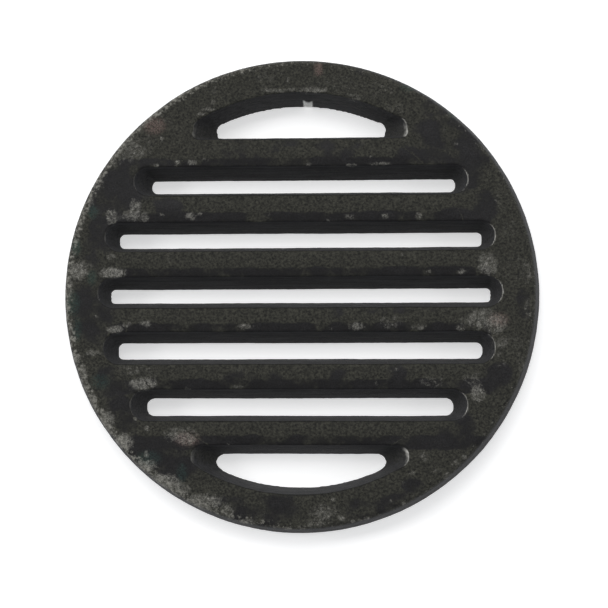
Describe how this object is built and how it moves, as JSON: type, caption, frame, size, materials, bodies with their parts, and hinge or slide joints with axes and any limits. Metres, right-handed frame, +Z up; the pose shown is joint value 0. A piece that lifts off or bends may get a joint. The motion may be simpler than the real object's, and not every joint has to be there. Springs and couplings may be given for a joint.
{
  "type": "slotted grate cover",
  "caption": "Flat round cast-iron cover for a gully or small manhole: a solid rim with parallel bars, straight round-ended slots and two segment openings.",
  "frame": {"origin": "centre of the underside, on the axis of the rim", "axes": "+Z up, out of the walked-on face; +X along the bars; +Y across the bars"},
  "size_m": [0.203, 0.203, 0.015],
  "materials": {
    "painted_cast_iron": "black bitumen paint on a sand-cast skin, worn to grey iron in patches"
  },
  "bodies": {
    "root": {"rim": "painted_cast_iron", "bar_1": "painted_cast_iron", "bar_2": "painted_cast_iron", "bar_3": "painted_cast_iron", "bar_4": "painted_cast_iron", "bar_5": "painted_cast_iron", "bar_6": "painted_cast_iron"}
  },
  "joints": []
}
